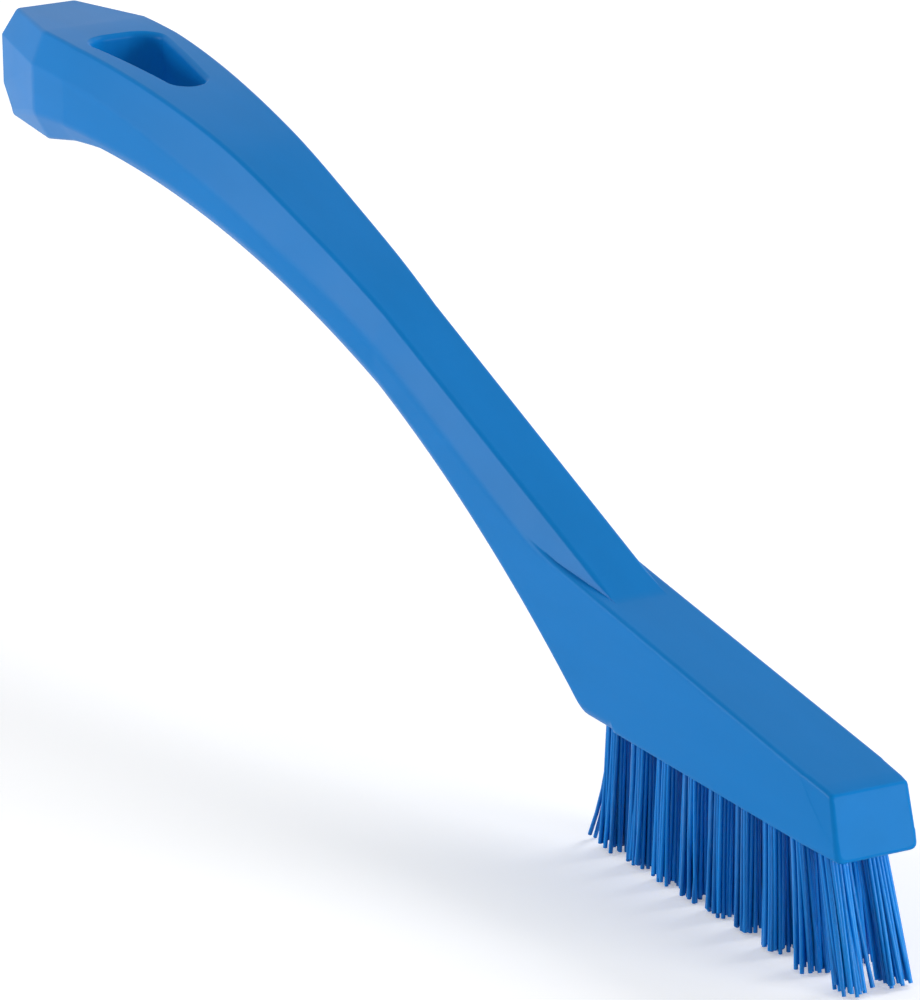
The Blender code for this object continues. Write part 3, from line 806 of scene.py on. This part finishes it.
def tuft_place(tufts, index, row):
    """Frame of a tuft's hole: its origin at the mouth, X along the brush and Z up the hole."""
    middle = (tufts.per_row - 1) / 2
    share = (index - middle) / middle
    fan = (tufts.tip_fan if share > 0 else tufts.heel_fan) * share**2
    back = tufts.tip_margin + (tufts.per_row - 1 - index) * tufts.pitch
    mouth = Vector((BODY_HIGH.x - back, row * tufts.row_spacing / 2, BODY_LOW.z))
    up = Vector((-math.tan(fan), -math.tan(tufts.row_lean * row), 1.0)).normalized()
    along = Vector((0.0, 1.0, 0.0)).cross(up).normalized()
    turn = Matrix((along, up.cross(along), up)).transposed()
    return Matrix.Translation(mouth) @ turn.to_4x4()


def tuft_holes_cutter(tufts):
    """All the blind holes, each a cylinder that starts below the drilled face."""
    bm = bmesh.new()
    depth = tufts.hole_depth + CUT_OVERSHOOT
    for row in (-1, 1):
        for index in range(tufts.per_row):
            start = Matrix.Translation((0.0, 0.0, depth / 2 - CUT_OVERSHOOT))
            bmesh.ops.create_cone(
                bm,
                cap_ends=True,
                segments=HOLE_SIDES,
                radius1=tufts.hole_diameter / 2,
                radius2=tufts.hole_diameter / 2,
                depth=depth,
                matrix=tuft_place(tufts, index, row) @ start,
            )
    return object_from(bm, "tuft_holes_cutter")


def keep_evaluated(made):
    """Turns what the modifiers make into the object's own mesh, and removes them."""
    graph = bpy.context.evaluated_depsgraph_get()
    mesh = bpy.data.meshes.new_from_object(made.evaluated_get(graph))
    made.modifiers.clear()
    made.data = mesh


def subtract(target, cutter):
    """Cuts one mesh out of another for good and removes the cutter."""
    cut = target.modifiers.new("cut", "BOOLEAN")
    cut.operation = "DIFFERENCE"
    cut.solver = "EXACT"
    cut.object = cutter
    keep_evaluated(target)
    bpy.data.objects.remove(cutter, do_unlink=True)


def work_out(tree, known, sums):
    """Adds a Math node for each row of sums and keeps it under its result's name."""
    for name, operation, *values in sums:
        links = {place: known.get(value, value) for place, value in enumerate(values)}
        known[name] = add(tree, "ShaderNodeMath", links, operation=operation)


def rooted_lines(tree, known):
    """A numbered line of points for each filament, at the filament's place in the bundle."""
    known["index"] = add(tree, "GeometryNodeInputIndex")
    work_out(tree, known, ROOT_SUMS)
    root = add(tree, "ShaderNodeCombineXYZ", {0: known["root along"], 1: known["root across"]})
    points = add(tree, "GeometryNodePoints", {"Count": known["count"], "Position": root})
    links = {"Geometry": points, "Name": "filament", "Value": known["index"]}
    numbered = add(tree, "GeometryNodeStoreNamedAttribute", links, data_type="FLOAT", domain="POINT")
    links = {"Start": (0, 0, 0), "End": (0, 0, 1)}
    line = add(tree, "GeometryNodeCurvePrimitiveLine", links, mode="POINTS")
    links = {"Curve": line, "Count": 2 * LEG_STEPS + 1}
    divided = add(tree, "GeometryNodeResampleCurve", links, mode="COUNT")
    placed = add(tree, "GeometryNodeInstanceOnPoints", {"Points": numbered, "Instance": divided})
    return add(tree, "GeometryNodeRealizeInstances", {"Geometry": placed})


def read_legs(tree, known):
    """Says how far down its leg each point of a line is, and gives the leg its random values."""
    where = add(tree, "GeometryNodeInputPosition")
    parts = add(tree, "ShaderNodeSeparateXYZ", {0: where}).outputs
    known.update({"out": parts[0], "across": parts[1], "run": parts[2]})
    links = {"Name": "filament"}
    known["filament"] = add(tree, "GeometryNodeInputNamedAttribute", links, data_type="FLOAT")
    work_out(tree, known, LEG_SUMS)
    for name, (start, finish, first, last) in LEG_RANGES.items():
        links = {"Value": known["step"], "From Min": start, "From Max": finish}
        links.update({"To Min": first, "To Max": last})
        known[name] = add(tree, "ShaderNodeMapRange", links, clamp=True)
    for offset, (name, lowest) in enumerate(LEG_CHANCES.items()):
        seed = add(tree, "ShaderNodeMath", {0: known["Seed"], 1: offset}, operation="ADD")
        links = {2: lowest, 3: 1.0, "ID": known["leg"], "Seed": seed}
        known[name] = add(tree, "FunctionNodeRandomValue", links, data_type="FLOAT").outputs[1]


def trimmed_path(tree, known):
    """Places of a line's points: round the fold, down the hole and on until they reach the floor."""
    work_out(tree, known, PATH_SUMS)
    turn = add(tree, "FunctionNodeEulerToRotation", {0: known["Turn"]})
    turned = []
    for place in (
        (known["leg along"], known["across"], known["rise"]),
        (known["lean along"], known["lean across"], -1.0),
    ):
        upright = add(tree, "ShaderNodeCombineXYZ", dict(enumerate(place)))
        turned.append(add(tree, "FunctionNodeRotateVector", {"Vector": upright, "Rotation": turn}))
    root, heading = turned
    place = add(tree, "ShaderNodeVectorMath", {0: root, 1: known["Mouth"]}, operation="ADD")
    known["start height"] = add(tree, "ShaderNodeSeparateXYZ", {0: place}).outputs[2]
    known["heading height"] = add(tree, "ShaderNodeSeparateXYZ", {0: heading}).outputs[2]
    links = {0: root, 1: known["Stray Reach"]}
    straying = add(tree, "ShaderNodeVectorMath", links, operation="DOT_PRODUCT")
    known["straying"] = straying.outputs["Value"]
    work_out(tree, known, TRIM_SUMS)
    bow = add(tree, "ShaderNodeCombineXYZ", {0: known["bow along"], 1: known["bow across"]})
    moves = ((heading, "travel"), (bow, "down squared"), (known["Stray Reach"], "stray share"))
    for way, amount in moves:
        moved = add(tree, "ShaderNodeVectorMath", {0: way, "Scale": known[amount]}, operation="SCALE")
        place = add(tree, "ShaderNodeVectorMath", {0: place, 1: moved}, operation="ADD")
    return place


def tuft_tree():
    """Geometry Nodes that fold a bundle of filaments over an anchor and trim their tips at the floor."""
    tree = bpy.data.node_groups.new("Folded tuft", "GeometryNodeTree")
    for kind, names in TUFT_INPUTS.items():
        for name in names:
            tree.interface.new_socket(name, in_out="INPUT", socket_type=kind)
    tree.interface.new_socket("Geometry", in_out="OUTPUT", socket_type="NodeSocketGeometry")
    known = {socket.name: socket for socket in add(tree, "NodeGroupInput").outputs}
    lines = rooted_lines(tree, known)
    read_legs(tree, known)
    path = trimmed_path(tree, known)
    laid = add(tree, "GeometryNodeSetPosition", {"Geometry": lines, "Position": path})
    links = {"Geometry": laid, "Name": "tone", "Value": known["tone"]}
    toned = add(tree, "GeometryNodeStoreNamedAttribute", links, data_type="FLOAT", domain="POINT")
    links = {"Resolution": FILAMENT_SIDES, "Radius": known["radius"]}
    profile = add(tree, "GeometryNodeCurvePrimitiveCircle", links)
    links = {"Curve": toned, "Profile Curve": profile, "Fill Caps": True}
    tubes = add(tree, "GeometryNodeCurveToMesh", links)
    smooth = add(tree, "GeometryNodeSetShadeSmooth", {"Geometry": tubes})
    whole = add(tree, "GeometryNodeRealizeInstances", {"Geometry": smooth})
    finished = add(tree, "GeometryNodeSetMaterial", {"Geometry": whole, "Material": known["Material"]})
    add(tree, "NodeGroupOutput", {0: finished})
    return tree


def grown(name, tree, values):
    """An object whose mesh a Geometry Nodes tree makes from the given input values."""
    made = link(bpy.data.objects.new(name, bpy.data.meshes.new(name)))
    grow = made.modifiers.new("grow", "NODES")
    grow.node_group = tree
    for item in tree.interface.items_tree:
        if item.in_out == "INPUT":
            grow[item.identifier] = values[item.name]
    keep_evaluated(made)
    return made


def new_material(name):
    """A material with its node tree and its shader."""
    made = bpy.data.materials.new(name)
    made.use_nodes = True
    return made, made.node_tree, made.node_tree.nodes["Principled BSDF"]


def per_length(*millimetres):
    """Scales that give a pattern these lengths along X, Y and Z."""
    return tuple(1 / (size * MM) for size in millimetres)


def moulded_polypropylene(colours):
    """Injection-moulded polypropylene: satin from an eroded mould, with faint flow in its pigment."""
    made, tree, shader = new_material("injection_moulded_polypropylene")
    place = add(tree, "ShaderNodeTexCoord").outputs["Object"]
    # The pigment drifts along the flow, a few centimetres long and a few millimetres wide
    flow = add(tree, "ShaderNodeMapping", {"Vector": place, "Scale": per_length(40, 6.25, 6.25)})
    drift = add(tree, "ShaderNodeTexNoise", {"Vector": flow, "Scale": 1.0, "Detail": 3.0})
    links = {"Value": drift, "From Min": 0.35, "From Max": 0.65}
    density = add(tree, "ShaderNodeMapRange", links, clamp=True)
    links = {"Factor": density, MIX_FIRST: colours.plastic, MIX_SECOND: colours.plastic_deep}
    pigment = add(tree, "ShaderNodeMix", links, data_type="RGBA")
    # The eroded mould leaves a grain of about 0.12 mm, drawn at 0.2 mm so that it shows
    grain = add(tree, "ShaderNodeTexNoise", {"Vector": place, "Scale": 1 / (0.2 * MM), "Detail": 2.0})
    links = {"Height": grain, "Strength": 0.12, "Distance": 0.01 * MM}
    bump = add(tree, "ShaderNodeBump", links)
    # Handling leaves patches of a centimetre a little smoother
    patches = add(tree, "ShaderNodeTexNoise", {"Vector": place, "Scale": 1 / (10 * MM), "Detail": 2.0})
    links = {"Value": patches, "To Min": 0.3, "To Max": 0.4}
    gloss = add(tree, "ShaderNodeMapRange", links, clamp=True)
    links = {
        "Base Color": pigment.outputs[MIX_COLOUR],
        "Normal": bump,
        "Roughness": gloss,
        "IOR": 1.49,
        "Specular IOR Level": 0.055,
        "Subsurface Weight": 0.05,
        "Subsurface Radius": (0.2, 0.8, 1.0),
        "Subsurface Scale": 0.5 * MM,
    }
    feed(tree, shader, links)
    return made


def extruded_polyester(colours):
    """Extruded polyester filament: round and glossy, each of its own depth of blue, with draw lines."""
    made, tree, shader = new_material("extruded_polyester_filament")
    tone = add(tree, "ShaderNodeAttribute", attribute_name="tone").outputs["Fac"]
    place = add(tree, "ShaderNodeTexCoord").outputs["Object"]
    # Draw lines run along a filament. They are a few hundredths of a millimetre wide, and are drawn
    # 0.125 mm wide and 2 mm long so that they show
    lines = add(tree, "ShaderNodeMapping", {"Vector": place, "Scale": per_length(0.125, 0.125, 2)})
    streak = add(tree, "ShaderNodeTexNoise", {"Vector": lines, "Scale": 1.0, "Detail": 2.0})
    depth = add(tree, "ShaderNodeMath", {0: tone, 1: streak}, operation="MULTIPLY")
    links = {"Factor": depth, MIX_FIRST: colours.filament, MIX_SECOND: colours.filament_deep}
    shade = add(tree, "ShaderNodeMix", links, data_type="RGBA")
    links = {"Value": streak, "To Min": 0.12, "To Max": 0.26}
    gloss = add(tree, "ShaderNodeMapRange", links, clamp=True)
    links = {
        "Base Color": shade.outputs[MIX_COLOUR],
        "Roughness": gloss,
        "IOR": 1.57,
        "Specular IOR Level": 0.15,
    }
    feed(tree, shader, links)
    return made


def drawn_stainless(colours):
    """Drawn and cut stainless wire: a bright metal with draw lines along it."""
    made, tree, shader = new_material("drawn_stainless_wire")
    place = add(tree, "ShaderNodeTexCoord").outputs["Object"]
    # Draw lines run along the wire, which lies across the brush, and are drawn 0.05 mm wide so that
    # they show
    lines = add(tree, "ShaderNodeMapping", {"Vector": place, "Scale": per_length(0.05, 1.43, 0.05)})
    streak = add(tree, "ShaderNodeTexNoise", {"Vector": lines, "Scale": 1.0, "Detail": 3.0})
    links = {"Value": streak, "To Min": 0.22, "To Max": 0.42}
    gloss = add(tree, "ShaderNodeMapRange", links, clamp=True)
    links = {"Value": streak, "To Min": 0.9, "To Max": 1.0}
    bright = add(tree, "ShaderNodeMapRange", links, clamp=True)
    links = {0: colours.steel[:3], "Scale": bright}
    metal = add(tree, "ShaderNodeVectorMath", links, operation="SCALE")
    feed(tree, shader, {"Base Color": metal, "Roughness": gloss, "Metallic": 1.0})
    return made


def studio_paper(colours, lift):
    """Matte white paper roll. What the camera sees of it is lifted to white and keeps the shadow."""
    made, tree, shader = new_material("matte_studio_paper")
    place = add(tree, "ShaderNodeTexCoord").outputs["Object"]
    # Pressed fibres leave a felt of about 1.5 mm
    felt = add(tree, "ShaderNodeTexNoise", {"Vector": place, "Scale": 1 / (1.5 * MM), "Detail": 3.0})
    links = {"Height": felt, "Strength": 0.03, "Distance": 0.02 * MM}
    bump = add(tree, "ShaderNodeBump", links)
    glow = add(tree, "ShaderNodeMath", {0: seen_directly(tree), 1: lift}, operation="MULTIPLY")
    links = {
        "Base Color": colours.paper,
        "Roughness": 0.9,
        "Normal": bump,
        "Emission Color": WHITE,
        "Emission Strength": glow,
    }
    feed(tree, shader, links)
    return made


class BuildBody(bpy.types.Operator):
    """Builds the moulded handle and head with its hanging hole and blind tuft holes."""

    bl_idname = "detailing_brush.build_body"
    bl_label = "Build handle and head"

    def execute(self, context):
        rails = BodyRails(context.scene.brush_body)
        body = skinned_body(rails)
        subtract(body, hanging_hole_cutter(rails, context.scene.brush_hole))
        subtract(body, tuft_holes_cutter(context.scene.brush_tufts))
        body.data.materials.clear()
        body.data.materials.append(moulded_polypropylene(context.scene.brush_colours))
        body.data.shade_smooth()
        body.data.set_sharp_from_angle(angle=SHARP_ANGLE)
        even = body.modifiers.new("even shading", "WEIGHTED_NORMAL")
        even.keep_sharp = True
        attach(body, "root")
        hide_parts("moulded_body")
        return {"FINISHED"}


class BuildTufts(bpy.types.Operator):
    """Grows the folded filaments of every tuft, two rows from the heel to the tip."""

    bl_idname = "detailing_brush.build_tufts"
    bl_label = "Build tufts"

    def execute(self, context):
        tufts = context.scene.brush_tufts
        tree = tuft_tree()
        shared = {
            "Layers": tufts.columns,
            "Filaments Across": tufts.rows,
            "Packed Radius": tufts.packed_radius,
            "Anchor Gap": tufts.anchor_gap,
            "Shoulder": tufts.shoulder,
            "Fold Lift": tufts.fold_lift,
            "Filament Diameter": tufts.filament,
            "Visible Length": BODY_LOW.z,
            "Spread": tufts.spread,
            "Lowest Tip": tufts.lowest_tip,
            "Unevenness": tufts.unevenness,
            "Bend": tufts.bend,
            "Tilt": math.tan(tufts.tilt),
            "Material": extruded_polyester(context.scene.brush_colours),
        }
        strays = {("right", 0): HEEL_STRAY, ("right", tufts.per_row - 1): TIP_STRAY}
        for side, row in (("left", 1), ("right", -1)):
            for index in range(tufts.per_row):
                place = tuft_place(tufts, index, row)
                astray = strays.get((side, index), Vector())
                own = {
                    "Seed": tufts.seed + SEED_STEP * index + row,
                    "Mouth": place.translation,
                    "Turn": place.to_euler(),
                    "Stray Reach": astray,
                    "Stray Limit": tufts.stray_limit * astray.length,
                }
                made = grown(f"filaments_{side}_{index + 1}", tree, {**shared, **own})
                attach(made, "root")
                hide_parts(f"tuft_{side}_{index + 1}")
        bpy.data.node_groups.remove(tree)
        return {"FINISHED"}


class FinishAnchors(bpy.types.Operator):
    """Gives the CAD anchors in the tuft holes their drawn stainless finish."""

    bl_idname = "detailing_brush.finish_anchors"
    bl_label = "Finish anchors"

    def execute(self, context):
        stainless = drawn_stainless(context.scene.brush_colours)
        for name, node in frame["nodes"].items():
            if name.startswith("anchor_"):
                node.material_slots[0].material = stainless
        return {"FINISHED"}


def direction(azimuth, elevation):
    """The way from the brush to a camera or lamp. Azimuth 0 stands at -Y and 90 at +X."""
    level = math.cos(elevation)
    return Vector((math.sin(azimuth) * level, -math.cos(azimuth) * level, math.sin(elevation)))


def paper_floor(side, finish):
    """A square sheet of paper that the brush stands on."""
    bm = bmesh.new()
    bmesh.ops.create_grid(bm, x_segments=1, y_segments=1, size=side / 2)
    floor = object_from(bm, "paper_floor")
    floor.data.materials.append(finish)
    return floor


def photo_camera(studio, aim):
    """A camera at the photograph's angle, slid so that the brush has the same place in the frame."""
    back = direction(studio.azimuth, studio.elevation)
    level = Vector((math.cos(studio.azimuth), math.sin(studio.azimuth), 0.0))
    right = level * math.cos(studio.roll) + back.cross(level) * math.sin(studio.roll)
    up = back.cross(right)
    data = bpy.data.cameras.new("camera")
    data.lens = studio.lens
    data.clip_start = CLIP_START
    camera = link(bpy.data.objects.new("camera", data))
    place = aim + back * studio.distance + right * studio.slide_right + up * studio.slide_up
    turn = Matrix((right, up, back)).transposed()
    camera.matrix_world = Matrix.Translation(place) @ turn.to_4x4()
    return camera


def soft_box(name, azimuth, elevation, power, studio, aim):
    """A square area lamp that faces the aim from the given direction, in degrees."""
    data = bpy.data.lights.new(name, "AREA")
    data.size = studio.lamp_size
    data.energy = power
    lamp = link(bpy.data.objects.new(name, data))
    away = direction(math.radians(azimuth), math.radians(elevation))
    lamp.location = aim + away * studio.lamp_distance
    lamp.rotation_euler = away.to_track_quat("Z", "Y").to_euler()


def studio_room(light):
    """A pale room that is plain white to the camera and in reflections."""
    world = bpy.data.worlds.new("studio_room")
    world.use_nodes = True
    tree = world.node_tree
    tree.nodes.clear()
    links = {"Value": seen_directly(tree), "To Min": light, "To Max": 1.0}
    strength = add(tree, "ShaderNodeMapRange", links, clamp=True)
    room = add(tree, "ShaderNodeBackground", {"Color": WHITE, "Strength": strength})
    add(tree, "ShaderNodeOutputWorld", {0: room})
    return world


class BuildStage(bpy.types.Operator):
    """Builds the paper floor, the camera at the photograph's angle, the soft boxes and the room."""

    bl_idname = "detailing_brush.build_stage"
    bl_label = "Build studio"

    def execute(self, context):
        scene = context.scene
        studio = scene.brush_studio
        floor = paper_floor(studio.floor, studio_paper(scene.brush_colours, studio.paper_lift))
        aim = Vector((studio.aim_x, 0.0, studio.aim_z))
        scene.camera = photo_camera(studio, aim)
        for name, (azimuth, elevation, power) in SOFT_BOXES.items():
            soft_box(name, azimuth, elevation, power, studio, aim)
        scene.world = studio_room(studio.room)
        scene.view_settings.view_transform = "Standard"
        return {"FINISHED"}


class BrushPanel(bpy.types.Panel):
    """Lists the steps that build the brush."""

    bl_idname = "VIEW3D_PT_detailing_brush"
    bl_label = "Detailing brush"
    bl_space_type = "VIEW_3D"
    bl_region_type = "UI"
    bl_category = "Detailing brush"

    def draw(self, context):
        for step in STEPS:
            self.layout.operator(step.bl_idname)


SETTINGS = {
    "brush_body": BrushBodySizes,
    "brush_hole": HangingHoleSizes,
    "brush_tufts": TuftSizes,
    "brush_colours": FinishColours,
    "brush_studio": StudioSizes,
}
STEPS = (BuildStage, BuildBody, BuildTufts, FinishAnchors)


def register():
    for kind in (*SETTINGS.values(), *STEPS, BrushPanel):
        bpy.utils.register_class(kind)
    for name, kind in SETTINGS.items():
        setattr(bpy.types.Scene, name, PointerProperty(type=kind))


def unregister():
    for name in SETTINGS:
        delattr(bpy.types.Scene, name)
    for kind in reversed((*SETTINGS.values(), *STEPS, BrushPanel)):
        bpy.utils.unregister_class(kind)


def clear_startup_objects():
    """Removes what Blender's startup file brings, and keeps the frame."""
    kept = {*frame["bodies"].values(), *frame["nodes"].values()}
    for old in list(bpy.data.objects):
        if old not in kept:
            bpy.data.objects.remove(old, do_unlink=True)


def main():
    clear_startup_objects()
    register()
    bpy.ops.detailing_brush.build_stage()
    bpy.ops.detailing_brush.build_body()
    bpy.ops.detailing_brush.build_tufts()
    bpy.ops.detailing_brush.finish_anchors()


if __name__ == "__main__":
    main()
